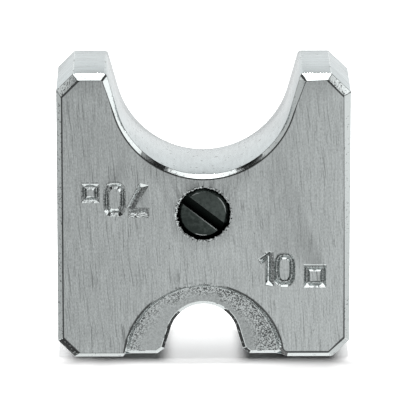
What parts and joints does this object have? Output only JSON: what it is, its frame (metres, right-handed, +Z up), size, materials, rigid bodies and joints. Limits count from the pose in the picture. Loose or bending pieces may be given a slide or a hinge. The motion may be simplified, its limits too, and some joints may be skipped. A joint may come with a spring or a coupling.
{
  "type": "crimp die insert",
  "caption": "Square steel crimp die block with a large half-round nest at its top, a small one in a recess at its base, and a sprung ball detent closed by a slotted set screw.",
  "frame": {"origin": "middle of the block's base, in the mouth of the small nest, half-way between the faces", "axes": "+Z up from the small nest's end to the large nest's end, -Y out of the stamped front face with the set screw, +Y out of the back face with the detent ball, +X to the right as the front face is seen"},
  "size_m": [0.0266, 0.0107, 0.0267],
  "materials": {
    "ground_tool_steel": "ground, brushed",
    "black_oxide_steel": "black oxide",
    "spring_wire": "drawn wire",
    "polished_steel": "polished"
  },
  "bodies": {
    "die": {"die_body": "ground_tool_steel", "set_screw": "black_oxide_steel", "detent_spring": "spring_wire"},
    "ball": {"detent_ball": "polished_steel"}
  },
  "joints": [
    {"name": "detent_travel", "type": "slide", "parent": "die", "child": "ball", "axis": [0, -1, 0], "range_m": [0, 0.0007], "stiffness_N_per_m": 3350, "springref_m": -0.0008, "deforming": ["detent_spring"]}
  ]
}
